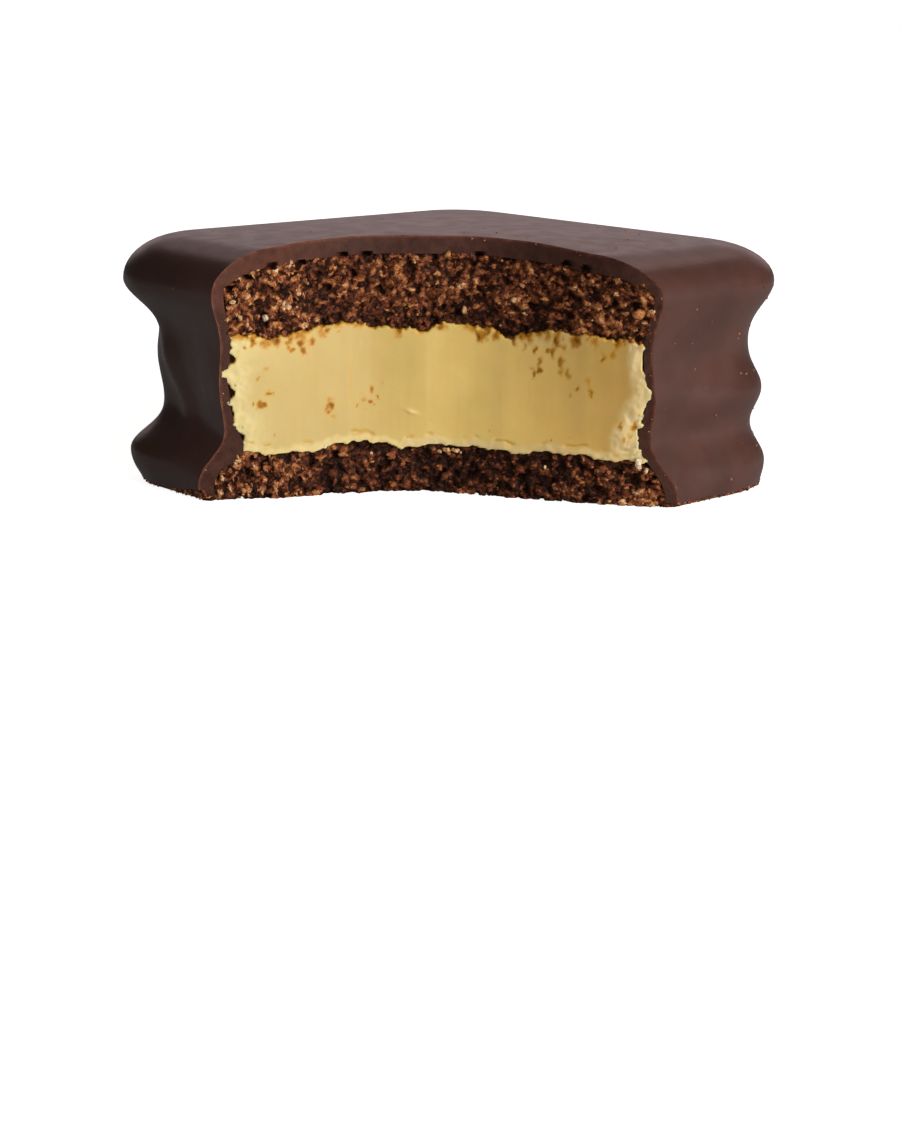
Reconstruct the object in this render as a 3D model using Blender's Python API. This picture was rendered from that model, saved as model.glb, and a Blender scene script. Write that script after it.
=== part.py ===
"""A square filled alfajor with one bite taken out of its front corner.

Two cocoa biscuits hold a thick layer of cream, and a chocolate coating covers the top and the
four sides. The base is bare biscuit. Units are metres, +Z is up and the bite faces -Y.
"""

import math

import bmesh
import bpy
from mathutils import Vector

# The whole alfajor, before the bite
SIDE = 0.0565                    # across the flats, at the bulge below the top edge
CORNER_RADIUS = 0.0115           # in plan, at the same bulge
TURN = math.radians(42.0)        # direction of the first flat side: the corners then lie near the axes
HEIGHT = 0.0273                  # middle of the crowned top
CROWN_RISE = 0.0007              # middle of the top above its rim
TOP_SLOPE = (-0.010, 0.016)      # the top rises a little to the left and to the back
BULGE_HEIGHT = 0.0222            # widest level, where the rounded top edge starts

# Side profile at the corners: how the coating draws in below the bulge and swells again.
# Each pair is the value at the +X corner and the value at the -X corner.
SHOULDER_INSET = (0.0075, 0.0070)  # how far the rounded top edge runs in over the top
WAIST_DEPTH = (0.0027, 0.0047)
SHOULDER_SPREAD = 0.0024
CREAM_SWELL = (0.0016, 0.0012)
CREAM_SWELL_HEIGHT = (0.0107, 0.0145)
CREAM_SWELL_SPREAD = (0.0019, 0.0030)
FOOT_SWELL = (0.0021, 0.0044)
FOOT_HEIGHT = (0.0026, 0.0036)
FOOT_SPREAD = 0.0021
FOOT_DROP = 0.0038               # the foot's spread below its middle

# Side profile along the flats, which is shallower
FLAT_WAIST = 0.0011
FLAT_HOLLOW = 0.0010             # deeper just above the bottom biscuit
FLAT_HOLLOW_HEIGHT = 0.0068
FLAT_HOLLOW_SPREAD = 0.0022
FLAT_FOOT = 0.0005
FLAT_FOOT_HEIGHT = 0.0012
FLAT_FOOT_SPREAD = 0.0018

# Drape folds of the coating
FOLD_DEPTH = 0.00018
FOLD_COUNT = 11
FOLD_RISE = 0.034                # height that a fold would gain in one full turn

# Layers
TOP_COAT = 0.0019
SIDE_COAT = 0.0013
GAP = 0.0003                     # clearance between touching pieces
BOTTOM_BISCUIT_TOP = 0.0048
CREAM_TOP = 0.0176
LAYER_WAVE = 0.00035             # unevenness of the biscuit faces against the cream
LAYER_WAVE_LENGTH = 0.0115
LAYER_EDGE = 0.0006              # side rings stay this far from a layer's uneven faces

# The bite: an arch of tooth marks, rounder at the top than at the base.
# Each pair is the value at the base and the value at the top.
BITE_MIDDLE_X = (-0.0035, -0.0025)
BITE_DEEPEST_Y = (-0.0076, -0.0050)
BITE_DEPTH = (0.0066, 0.0140)    # from the deepest point forward to the ends of the arch
BITE_SPREAD = (0.0145, 0.0175)
BITE_POWER = (2.0, 3.2)          # steepness of the arch's ends
BITE_SLANT = (0.06, 0.03)        # the arch comes forward towards the right
TOOTH_WIDTH = 0.00825
TOOTH_RIDGE = 0.00025            # ridge left standing between two teeth
TOOTH_RIDGE_X = -0.0105          # place of one such ridge
BITE_HALF_WIDTH = 0.0370
BITE_FRONT_Y = -0.0500

SEGMENTS = 70                    # around each lofted piece
SIDE_STEPS = 15                  # from the base up to the bulge
SHOULDER_STEPS = 5
BITE_COLUMNS = 60
BITE_ROWS = 3
BITE_MARGIN = 0.0030             # the cutter passes the base and the top by this much


def between(pair, share):
    """Value part of the way from the pair's first to its second."""
    return pair[0] + (pair[1] - pair[0]) * share


def swell(height, middle, spread):
    """A smooth bump, 1 at its middle."""
    return math.exp(-0.5 * ((height - middle) / spread) ** 2)


def square_reach(angle, half_side, corner):
    """Distance from the centre to the edge of a rounded square."""
    along = abs(math.cos(angle))
    across = abs(math.sin(angle))
    flat = half_side / max(along, across)
    straight = half_side - corner
    if flat * min(along, across) <= straight:
        return flat
    return straight * (along + across) + math.sqrt(corner ** 2 - (straight * (along - across)) ** 2)


def corner_inset(share, height):
    """How far a corner's side lies inside the bulge; share runs from the +X corner to the -X one."""
    middle = swell(height, between(CREAM_SWELL_HEIGHT, share), between(CREAM_SWELL_SPREAD, share))
    foot_height = between(FOOT_HEIGHT, share)
    foot = swell(height, foot_height, FOOT_SPREAD if height > foot_height else FOOT_DROP)
    inset = between(WAIST_DEPTH, share)
    return inset - between(CREAM_SWELL, share) * middle - between(FOOT_SWELL, share) * foot


def flat_inset(height):
    """How far a flat side lies inside the bulge."""
    hollow = swell(height, FLAT_HOLLOW_HEIGHT, FLAT_HOLLOW_SPREAD)
    foot = swell(height, FLAT_FOOT_HEIGHT, FLAT_FOOT_SPREAD)
    return FLAT_WAIST + FLAT_HOLLOW * hollow - FLAT_FOOT * foot


def side_inset(angle, height):
    """How far the coating's side lies inside the bulge."""
    share = 0.5 - 0.5 * math.cos(angle)
    corner = math.sin(2.0 * (angle - TURN)) ** 2
    inset = between((flat_inset(height), corner_inset(share, height)), corner)
    inset += FOLD_DEPTH * math.sin(FOLD_COUNT * (angle - 2.0 * math.pi * height / FOLD_RISE))
    return inset * (1.0 - swell(height, BULGE_HEIGHT, SHOULDER_SPREAD))


def shoulder_inset(angle):
    """How far the rounded top edge runs in over the top."""
    return between(SHOULDER_INSET, 0.5 - 0.5 * math.cos(angle))


def reach(angle, inset):
    """Distance from the centre to the outline that lies this far inside the bulge."""
    return square_reach(angle - TURN, SIDE / 2 - inset, CORNER_RADIUS - inset)


def side_ring(height, skin):
    """Ring on the side, this far under the outer surface."""
    return lambda angle: (reach(angle, side_inset(angle, max(height, 0.0)) + skin), height)


def top_slope(angle, distance):
    """Height that the tilt of the top adds here."""
    return distance * (TOP_SLOPE[0] * math.cos(angle) + TOP_SLOPE[1] * math.sin(angle))


def shoulder_ring(step, skin, lid):
    """Ring on the rounded top edge, under a side skin and a top lid of these thicknesses."""
    turn = 0.5 * math.pi * step / SHOULDER_STEPS
    rise = HEIGHT - CROWN_RISE - lid - BULGE_HEIGHT

    def place(angle):
        distance = reach(angle, skin + shoulder_inset(angle) * (1.0 - math.cos(turn)))
        return distance, BULGE_HEIGHT + (rise + top_slope(angle, distance)) * math.sin(turn)
    return place


def top_ring(share, skin, lid):
    """Ring on the crowned top, at this share of the way out from its middle."""
    def place(angle):
        distance = share * reach(angle, skin + shoulder_inset(angle))
        return distance, HEIGHT - CROWN_RISE * share ** 2 - lid + top_slope(angle, distance)
    return place


def layer_wave(x, y):
    """Unevenness of a layer's face."""
    along = math.sin(2.0 * math.pi * x / LAYER_WAVE_LENGTH + 0.8)
    across = math.sin(2.0 * math.pi * (y + 0.4 * x) / (1.4 * LAYER_WAVE_LENGTH))
    return 0.5 * LAYER_WAVE * (along + across)


def face_ring(share, level, skin):
    """Ring on the uneven face between two layers."""
    def place(angle):
        edge = share * reach(angle, side_inset(angle, level) + skin)
        height = level + layer_wave(edge * math.cos(angle), edge * math.sin(angle))
        return share * reach(angle, side_inset(angle, height) + skin), height
    return place


def side_rings(low, high, skin):
    """Rings at the levels that all the pieces share, from above low to below high."""
    levels = [BULGE_HEIGHT * step / SIDE_STEPS for step in range(SIDE_STEPS + 1)]
    return [side_ring(level, skin) for level in levels if low <= level <= high]


def loft(name, rings):
    """A closed solid through rings that each give a reach and a height for an angle."""
    shape = bmesh.new()
    bmesh.ops.create_circle(shape, cap_ends=True, segments=SEGMENTS, radius=1.0)
    shape.faces.ensure_lookup_table()
    cap = shape.faces[0]
    for number, ring in enumerate(rings):
        if number > 0:
            grown = bmesh.ops.extrude_face_region(shape, geom=[cap])
            if number > 1:
                bmesh.ops.delete(shape, geom=[cap], context="FACES_ONLY")
            cap = [item for item in grown["geom"] if isinstance(item, bmesh.types.BMFace)][0]
        for vert in cap.verts:
            angle = math.atan2(vert.co.y, vert.co.x)
            distance, height = ring(angle)
            vert.co = Vector((distance * math.cos(angle), distance * math.sin(angle), height))
    bmesh.ops.recalc_face_normals(shape, faces=shape.faces)
    return finish(name, shape)


def finish(name, shape):
    """Turn a bmesh into an object with smooth shading and crisp edges."""
    mesh = bpy.data.meshes.new(name)
    shape.to_mesh(mesh)
    shape.free()
    mesh.shade_smooth()
    mesh.set_sharp_from_angle(angle=math.radians(40.0))
    return bpy.data.objects.new(name, mesh)


def bite_wall(x, height):
    """Y of the bitten face at this place across it and at this height."""
    share = height / HEIGHT
    offset = abs(x - between(BITE_MIDDLE_X, share)) / between(BITE_SPREAD, share)
    arch = between(BITE_DEPTH, share) * (1.0 - math.exp(-offset ** between(BITE_POWER, share)))
    ridge = TOOTH_RIDGE * (1.0 - abs(math.sin(math.pi * (x - TOOTH_RIDGE_X) / TOOTH_WIDTH)))
    return between(BITE_DEEPEST_Y, share) - arch - ridge - between(BITE_SLANT, share) * x


def make_bite():
    """The bitten-off volume: the tooth-marked wall, pulled forward past the front corner."""
    shape = bmesh.new()
    bmesh.ops.create_grid(shape, x_segments=BITE_COLUMNS, y_segments=BITE_ROWS, size=1.0)
    for vert in shape.verts:
        x = BITE_HALF_WIDTH * vert.co.x
        height = 0.5 * HEIGHT + (0.5 * HEIGHT + BITE_MARGIN) * vert.co.y
        vert.co = Vector((x, bite_wall(x, height), height))
    pulled = bmesh.ops.extrude_face_region(shape, geom=shape.faces[:])
    for item in pulled["geom"]:
        if isinstance(item, bmesh.types.BMVert):
            item.co.y = BITE_FRONT_Y
    bmesh.ops.recalc_face_normals(shape, faces=shape.faces)
    return finish("bite_cutter", shape)


def make_cavity():
    """The space inside the coating, open through the base."""
    rings = [side_ring(-BITE_MARGIN, SIDE_COAT)] + side_rings(0.0, BULGE_HEIGHT, SIDE_COAT)
    rings += [shoulder_ring(step, SIDE_COAT, TOP_COAT) for step in range(1, SHOULDER_STEPS + 1)]
    rings += [top_ring(share, SIDE_COAT, TOP_COAT) for share in (0.6, 0.1)]
    return loft("cavity_cutter", rings)


def make_coating():
    """Chocolate over the top and the sides, in one dip."""
    rings = side_rings(0.0, BULGE_HEIGHT, 0.0)
    rings += [shoulder_ring(step, 0.0, 0.0) for step in range(1, SHOULDER_STEPS + 1)]
    rings += [top_ring(share, 0.0, 0.0) for share in (0.7, 0.4, 0.1)]
    return loft("chocolate_coating", rings)


def make_top_biscuit():
    """Upper cocoa biscuit, rounded under the coating's edge and uneven where the cream meets it."""
    skin = SIDE_COAT + GAP
    level = CREAM_TOP + GAP
    rings = [face_ring(share, level, skin) for share in (0.1, 0.4, 0.7, 1.0)]
    rings += side_rings(level + LAYER_EDGE, BULGE_HEIGHT, skin)
    rings += [shoulder_ring(step, skin, TOP_COAT + GAP) for step in range(1, SHOULDER_STEPS + 1)]
    rings += [top_ring(share, skin, TOP_COAT + GAP) for share in (0.6, 0.1)]
    return loft("top_biscuit", rings)


def make_filling():
    """Cream, as thick as both biscuits together."""
    skin = SIDE_COAT + GAP
    low = BOTTOM_BISCUIT_TOP + GAP
    rings = [face_ring(share, low, skin) for share in (0.1, 0.4, 0.7, 1.0)]
    rings += side_rings(low + LAYER_EDGE, CREAM_TOP - LAYER_EDGE, skin)
    rings += [face_ring(share, CREAM_TOP, skin) for share in (1.0, 0.7, 0.4, 0.1)]
    return loft("cream_filling", rings)


def make_bottom_biscuit():
    """Lower cocoa biscuit, flat and bare underneath."""
    skin = SIDE_COAT + GAP
    rings = side_rings(0.0, BOTTOM_BISCUIT_TOP - LAYER_EDGE, skin)
    rings += [face_ring(share, BOTTOM_BISCUIT_TOP, skin) for share in (1.0, 0.7, 0.4, 0.1)]
    return loft("bottom_biscuit", rings)


def material(name, colour, roughness):
    """Plain food finish."""
    made = bpy.data.materials.new(name)
    made.use_nodes = True
    shader = made.node_tree.nodes["Principled BSDF"]
    shader.inputs["Base Color"].default_value = (*colour, 1.0)
    shader.inputs["Roughness"].default_value = roughness
    shader.inputs["Metallic"].default_value = 0.0
    return made


def cut(piece, cutter):
    """Take the cutter's volume out of the piece."""
    modifier = piece.modifiers.new(cutter.name, "BOOLEAN")
    modifier.operation = "DIFFERENCE"
    modifier.solver = "EXACT"
    modifier.object = cutter


def collect(name, objects):
    """Put the objects in a new collection of this name."""
    group = bpy.data.collections.new(name)
    bpy.context.scene.collection.children.link(group)
    for item in objects:
        group.objects.link(item)


def stand_on_origin(pieces, others):
    """Move everything so that the origin is the middle of the underside of the bounding box."""
    bpy.context.view_layer.update()
    graph = bpy.context.evaluated_depsgraph_get()
    points = [vert.co for piece in pieces for vert in piece.evaluated_get(graph).data.vertices]
    low = Vector([min(point[axis] for point in points) for axis in range(3)])
    high = Vector([max(point[axis] for point in points) for axis in range(3)])
    for item in pieces + others:
        item.location = (-0.5 * (low.x + high.x), -0.5 * (low.y + high.y), -low.z)


for old in list(bpy.data.objects):
    bpy.data.objects.remove(old, do_unlink=True)

cavity = make_cavity()
bite = make_bite()
coating = make_coating()
layers = [make_top_biscuit(), make_filling(), make_bottom_biscuit()]

coating.data.materials.append(material("dark chocolate", (0.055, 0.030, 0.025), 0.32))
layers[0].data.materials.append(material("cocoa biscuit, upper", (0.075, 0.030, 0.017), 0.90))
layers[1].data.materials.append(material("yellow cream", (0.640, 0.420, 0.140), 0.60))
layers[2].data.materials.append(material("cocoa biscuit, lower", (0.060, 0.025, 0.014), 0.90))

collect("alfajor", [coating] + layers)
collect("cutters", [cavity, bite])
for cutter in (cavity, bite):
    cutter.hide_render = True
    cutter.display_type = "WIRE"

cut(coating, cavity)
for piece in [coating] + layers:
    cut(piece, bite)
stand_on_origin([coating] + layers, [cavity, bite])
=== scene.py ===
"""A bitten square alfajor: dark chocolate over two cocoa biscuits and a thick layer of cream.

The frame holds the plain solids. Each one is replaced here by a finished piece of the same size.
"""
import math
import random

import bmesh
import bpy
import numpy as np
from mathutils import Euler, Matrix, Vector, noise


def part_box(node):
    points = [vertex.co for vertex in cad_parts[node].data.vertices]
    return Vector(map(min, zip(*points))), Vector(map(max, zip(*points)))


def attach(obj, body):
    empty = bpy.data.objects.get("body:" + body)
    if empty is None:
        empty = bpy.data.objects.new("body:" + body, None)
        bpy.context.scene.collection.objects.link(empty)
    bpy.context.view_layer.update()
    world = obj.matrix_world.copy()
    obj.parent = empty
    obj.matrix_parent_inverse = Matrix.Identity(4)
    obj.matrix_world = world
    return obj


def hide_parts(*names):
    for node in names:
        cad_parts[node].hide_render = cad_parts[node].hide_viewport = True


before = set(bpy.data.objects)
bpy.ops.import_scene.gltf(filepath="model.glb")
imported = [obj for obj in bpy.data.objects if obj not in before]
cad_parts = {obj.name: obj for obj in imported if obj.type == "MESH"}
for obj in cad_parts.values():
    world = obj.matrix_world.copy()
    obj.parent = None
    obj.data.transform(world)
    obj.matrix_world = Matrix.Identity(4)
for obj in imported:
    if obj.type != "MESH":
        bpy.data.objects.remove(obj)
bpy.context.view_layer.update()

# ---------------------------------------------------------------------------------------------
# Chocolate coating
# One dip of dark chocolate over the top and the four sides. It hugs the biscuit and the cream in
# soft drapes, and stops in a ragged line at the base. The bite snapped it off matte and clean.
# ---------------------------------------------------------------------------------------------
SIDE = 0.0565
CORNER_RADIUS = 0.0115
TURN = math.radians(42.0)
HEIGHT = 0.0273
CROWN_RISE = 0.0007
TOP_SLOPE = (-0.010, 0.016)
BULGE_HEIGHT = 0.0222
# Pairs are for the +X corner and the -X one.
SHOULDER_INSET = (0.0075, 0.0070)
WAIST_DEPTH = (0.0027, 0.0047)
SHOULDER_SPREAD = 0.0024
CREAM_SWELL = (0.0016, 0.0012)
CREAM_SWELL_HEIGHT = (0.0107, 0.0145)
CREAM_SWELL_SPREAD = (0.0019, 0.0030)
FOOT_SWELL = (0.0021, 0.0044)
FOOT_HEIGHT = (0.0026, 0.0036)
FOOT_SPREAD = 0.0021
FOOT_DROP = 0.0038
FLAT_WAIST = 0.0011
FLAT_HOLLOW = 0.0010
FLAT_HOLLOW_HEIGHT = 0.0068
FLAT_HOLLOW_SPREAD = 0.0022
FLAT_FOOT = 0.0005
FLAT_FOOT_HEIGHT = 0.0012
FLAT_FOOT_SPREAD = 0.0018
TOP_COAT = 0.0019
SIDE_COAT = 0.0013
# Pairs are for the foot of the bite and its top.
BITE_MIDDLE_X = (-0.0035, -0.0025)
BITE_DEEPEST_Y = (-0.0076, -0.0050)
BITE_DEPTH = (0.0066, 0.0140)
BITE_SPREAD = (0.0145, 0.0175)
BITE_POWER = (2.0, 3.2)
BITE_SLANT = (0.06, 0.03)
TOOTH_WIDTH = 0.00825
TOOTH_RIDGE = 0.00012
TOOTH_RIDGE_X = -0.0105
BITE_HALF_WIDTH = 0.0300
BITE_FRONT_Y = -0.0500
BITE_MARGIN = 0.0030
# Ridges, folds, lumps and waves are inputs of hump, wrapped and uneven, and start with a depth.
LEFT_FOLD_ANGLE = 200.5
LEFT_FOLD_LEAN = 850.0
LEFT_FOLD_HEIGHT = (0.0125, 0.0042)
LEFT_RIDGE = (0.00045, 0.0, 2.4)
LEFT_CHANNEL = (0.00040, -7.0, 3.2)
BULGE_CALM = 0.75
BULGE_CALM_SPREAD = 0.0030
FOLD_LEAN = 18.0
FOLDS = (0.00042, 2.9, 95.0)
LUMPS = (0.00012, 5.5, 210.0, 7.0)
SKIN_LUMPS = (0.00022, 6.0, 300.0)
SKIN_THINNER = 0.00050
SKIN_THIN_HEIGHT = (0.0130, 0.0035)
# A patch is how much thicker, at which angle and how wide, at which height and how tall.
SKIN_PATCHES = ((-0.00045, -38.0, 8.0, 0.0215, 0.0030), (-0.00035, -38.0, 8.0, 0.0012, 0.0022),
                (0.00130, -151.0, 7.0, 0.0053, 0.0012))
HEM_TOP = 0.0017
HEM_LIP = 0.00025
HEM_HEIGHT = 0.00045
HEM_RAGS = ((0.00022, 0.10, 5.0), (0.00010, 0.03, 7.0))
HEM_LIFT = (0.00075, -154.0, 9.0)
TOP_WAVES = ((0.00013, 0.013, 3.0), (0.00004, 0.004, 9.0))
SNAP_CHIPS = ((0.00010, 0.0016, 2.0), (0.00005, 0.0005, 5.0))
SNAP_FINENESS = 0.00026
SNAP_CREASE = 50.0
EDGE_WIDTH = 0.00022
AIR_POCKET_SIZE = (0.00050, 0.00028)
AIR_POCKET_DEPTH = 0.0016
AIR_POCKETS = ((-0.0110, 0.0253), (-0.0086, 0.0253), (0.0034, 0.0253), (-0.0182, 0.0247),
               (-0.0152, 0.0247), (-0.0205, 0.0237), (-0.0222, 0.0227), (0.0124, 0.0249),
               (0.0143, 0.0246))
SKIN_COLOURS = ((0.062, 0.0252, 0.0187), (0.080, 0.0328, 0.0247))
# Painted shade: the skin darkens to this colour towards the left, between these two places along X.
PAINTED_LEFT_SHADE = (0.029, 0.0098, 0.0058)
PAINTED_LEFT_SHADE_X = (-0.012, -0.030)
SNAP_COLOURS = ((0.040, 0.0142, 0.0086), (0.060, 0.0226, 0.0144))
# The warm crumbly line along the snap's outer edge, partly a painted highlight.
WARM_EDGE_AND_HIGHLIGHT = (0.190, 0.060, 0.034)

coat_low, coat_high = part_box("chocolate_coating")
corner_reach = (SIDE / 2 - CORNER_RADIUS) * math.sqrt(2.0)
back_reach = corner_reach * math.sin(TURN + math.radians(45.0)) + CORNER_RADIUS
CENTRE = Vector(((coat_low.x + coat_high.x) / 2, coat_high.y - back_reach, 0.0))


def between(pair, share):
    """Value part of the way from the pair's first to its second."""
    return pair[0] + (pair[1] - pair[0]) * share


def swell(height, middle, spread):
    """A smooth bump, 1 at its middle."""
    return math.exp(-0.5 * ((height - middle) / spread) ** 2)


def hump(value, tall, middle, width):
    """A smooth bump of this height, narrower than a swell of the same width."""
    return tall * math.exp(-((value - middle) / width) ** 2)


def clamp(value, low=0.0, high=1.0):
    """The value, kept between two limits."""
    return min(max(value, low), high)


def ease(low, high, value):
    """0 below low, 1 above high and a smooth ramp between."""
    share = clamp((value - low) / (high - low))
    return share * share * (3.0 - 2.0 * share)


def rough(x, y, z, grain, seed=0.0):
    """Noise from -1 to 1 with lumps of about this size."""
    return noise.noise(Vector((x, y, z)) / grain + Vector((seed, 1.7 * seed, -seed)))


def uneven(x, y, z, waves, shift=0.0):
    """Noises added up; each wave is a depth, a grain and a seed."""
    return sum(depth * rough(x, y, z, grain, seed + shift) for depth, grain, seed in waves)


def wrapped(angle, height, depth, around, upward, shift=0.0):
    """Lumps of this depth that run round the cookie, as busy around it and up it as these say."""
    spot = (around * math.cos(angle), around * math.sin(angle), upward * height + shift)
    return depth * noise.noise(Vector(spot))


def spot_at(distance, angle):
    """X and Y at this distance from the centre."""
    return distance * math.cos(angle), distance * math.sin(angle)


def square_reach(angle, half_side, corner):
    """Distance from the centre to the edge of a rounded square."""
    along = abs(math.cos(angle))
    across = abs(math.sin(angle))
    flat = half_side / max(along, across)
    straight = half_side - corner
    if flat * min(along, across) <= straight:
        return flat
    return straight * (along + across) + math.sqrt(corner ** 2 - (straight * (along - across)) ** 2)


def shoulder_inset(angle):
    """How far the rounded top edge runs in over the top."""
    return between(SHOULDER_INSET, 0.5 - 0.5 * math.cos(angle))


def reach(angle, inset):
    """Distance from the centre to the outline that lies this far inside the bulge."""
    return square_reach(angle - TURN, SIDE / 2 - inset, CORNER_RADIUS - inset)


def corner_inset(share, height):
    """How far a corner's side lies inside the bulge; share runs from the +X corner to the -X one."""
    middle = swell(height, between(CREAM_SWELL_HEIGHT, share), between(CREAM_SWELL_SPREAD, share))
    foot_height = between(FOOT_HEIGHT, share)
    foot = swell(height, foot_height, FOOT_SPREAD if height > foot_height else FOOT_DROP)
    inset = between(WAIST_DEPTH, share)
    return inset - between(CREAM_SWELL, share) * middle - between(FOOT_SWELL, share) * foot


def flat_inset(height):
    """How far a flat side lies inside the bulge."""
    hollow = swell(height, FLAT_HOLLOW_HEIGHT, FLAT_HOLLOW_SPREAD)
    foot = swell(height, FLAT_FOOT_HEIGHT, FLAT_FOOT_SPREAD)
    return FLAT_WAIST + FLAT_HOLLOW * hollow - FLAT_FOOT * foot


def side_inset(angle, height):
    """How far the coating's side lies inside the bulge."""
    share = 0.5 - 0.5 * math.cos(angle)
    corner = math.sin(2.0 * (angle - TURN)) ** 2
    inset = between((flat_inset(height), corner_inset(share, height)), corner)
    return inset * (1.0 - swell(height, BULGE_HEIGHT, SHOULDER_SPREAD))


def left_fold(angle, height):
    """One fold that runs down the left side: a ridge, with a channel towards the corner."""
    turned = math.degrees(angle) % 360.0 - LEFT_FOLD_ANGLE + LEFT_FOLD_LEAN * height
    return (hump(turned, *LEFT_RIDGE) - hump(turned, *LEFT_CHANNEL)) * swell(height, *LEFT_FOLD_HEIGHT)


def drape(angle, height):
    """Folds and lumps that the chocolate set in, inwards; they are weakest at the bulge."""
    calm = 1.0 - BULGE_CALM * swell(height, BULGE_HEIGHT, BULGE_CALM_SPREAD)
    folds = wrapped(angle + FOLD_LEAN * height, height, *FOLDS)
    return calm * (folds + wrapped(angle, height, *LUMPS)) - left_fold(angle, height)


def draped_inset(angle, height):
    """How far the coating's side lies inside the bulge, with its folds and lumps."""
    return side_inset(angle, height) + drape(angle, height)


def skin_depth(angle, height):
    """Thickness of the coating on the side: thin over the cream, and uneven beside the bite."""
    depth = SIDE_COAT - SKIN_THINNER * swell(height, *SKIN_THIN_HEIGHT)
    for more, middle, width, level, tall in SKIN_PATCHES:
        depth += more * swell(math.degrees(angle), middle, width) * swell(height, level, tall)
    return depth + wrapped(angle, height, *SKIN_LUMPS)


def side_ring(height, buried):
    """Ring on the outer side, or on the wall behind it where buried is 1."""
    def place(angle):
        level = max(height, 0.0)
        return reach(angle, draped_inset(angle, level) + buried * skin_depth(angle, level)), height
    return place


def top_slope(angle, distance):
    """Height that the tilt of the top adds here."""
    return distance * (TOP_SLOPE[0] * math.cos(angle) + TOP_SLOPE[1] * math.sin(angle))


def hem(angle):
    """Height of the coating's ragged lower edge; it stops higher beside the left end of the bite."""
    ragged = uneven(math.cos(angle), math.sin(angle), 0.0, HEM_RAGS)
    return HEM_HEIGHT + ragged + hump(math.degrees(angle), *HEM_LIFT)


def hem_ring(inset):
    """Ring on the coating's lower edge."""
    def place(angle):
        level = hem(angle)
        return reach(angle, draped_inset(angle, level) + inset), level + 0.4 * inset
    return place


def shoulder_ring(share, buried):
    """Ring on the rounded top edge."""
    turn = 0.5 * math.pi * share
    rise = HEIGHT - CROWN_RISE - buried * TOP_COAT - BULGE_HEIGHT

    def place(angle):
        fold = drape(angle, BULGE_HEIGHT) * math.cos(turn)
        skin = buried * skin_depth(angle, BULGE_HEIGHT)
        distance = reach(angle, fold + skin + shoulder_inset(angle) * (1.0 - math.cos(turn)))
        return distance, BULGE_HEIGHT + (rise + top_slope(angle, distance)) * math.sin(turn)
    return place


def clearance(x, y, z, buried):
    """How far a spot lies inside the coating's outer surface, or its inner wall and roof."""
    angle = math.atan2(y, x)
    distance = math.hypot(x, y)
    level = clamp(z, 0.0, BULGE_HEIGHT)
    turn = 0.0
    if z > BULGE_HEIGHT:
        rise = HEIGHT - CROWN_RISE - buried * TOP_COAT - BULGE_HEIGHT + top_slope(angle, distance)
        turn = math.asin(min((z - BULGE_HEIGHT) / rise, 1.0))
    inset = draped_inset(angle, level) + buried * skin_depth(angle, level)
    side = reach(angle, inset + shoulder_inset(angle) * (1.0 - math.cos(turn))) - distance
    share = min(distance / reach(angle, inset + shoulder_inset(angle)), 1.0)
    roof = HEIGHT - CROWN_RISE * share ** 2 + top_slope(angle, distance) - buried * TOP_COAT - z
    return min(side, roof)


def top_wave(x, y):
    """Slow waves on the top."""
    return uneven(x, y, 0.0, TOP_WAVES)


def top_ring(share, buried):
    """Ring on the crowned top, at this share of the way out from its middle."""
    def place(angle):
        edge = share * reach(angle, shoulder_inset(angle) + buried * skin_depth(angle, BULGE_HEIGHT))
        wave = top_wave(*spot_at(edge, angle)) * ease(1.0, 0.8, share)
        crown = HEIGHT - CROWN_RISE * share ** 2 + top_slope(angle, edge)
        return edge, crown - buried * TOP_COAT + wave
    return place


def spaced(first, last, count):
    """Evenly spaced values from first to last."""
    return [first + (last - first) * step / (count - 1) for step in range(count)]


def loft(rings, segments):
    """A closed bmesh through rings that each give a reach and a height for an angle."""
    shape = bmesh.new()
    bmesh.ops.create_circle(shape, cap_ends=True, segments=segments, radius=1.0)
    shape.faces.ensure_lookup_table()
    cap = shape.faces[0]
    for number, ring in enumerate(rings):
        if number > 0:
            grown = bmesh.ops.extrude_face_region(shape, geom=[cap])
            if number > 1:
                bmesh.ops.delete(shape, geom=[cap], context="FACES_ONLY")
            cap = [item for item in grown["geom"] if isinstance(item, bmesh.types.BMFace)][0]
        for vert in cap.verts:
            angle = math.atan2(vert.co.y, vert.co.x)
            distance, height = ring(angle)
            vert.co = (*spot_at(distance, angle), height)
    bmesh.ops.recalc_face_normals(shape, faces=shape.faces)
    return shape


def show(name, mesh, finish):
    """Put a mesh in the scene under this name, smooth-shaded, in one finish."""
    mesh.materials.append(finish)
    mesh.shade_smooth()
    made = bpy.data.objects.new(name, mesh)
    bpy.context.scene.collection.objects.link(made)
    return made


def as_object(name, shape, finish):
    """Turn a bmesh, drawn about the whole cookie's middle, into an object in place."""
    bmesh.ops.translate(shape, verts=shape.verts, vec=CENTRE)
    mesh = bpy.data.meshes.new(name)
    shape.to_mesh(mesh)
    shape.free()
    return show(name, mesh, finish)


def bite_wall(x, height):
    """Y of the bitten face at this place across it and at this height."""
    share = height / HEIGHT
    offset = abs(x - between(BITE_MIDDLE_X, share)) / between(BITE_SPREAD, share)
    arch = between(BITE_DEPTH, share) * (1.0 - math.exp(-offset ** between(BITE_POWER, share)))
    ridge = TOOTH_RIDGE * (1.0 - abs(math.sin(math.pi * (x - TOOTH_RIDGE_X) / TOOTH_WIDTH)))
    return between(BITE_DEEPEST_Y, share) - arch - ridge - between(BITE_SLANT, share) * x


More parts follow.
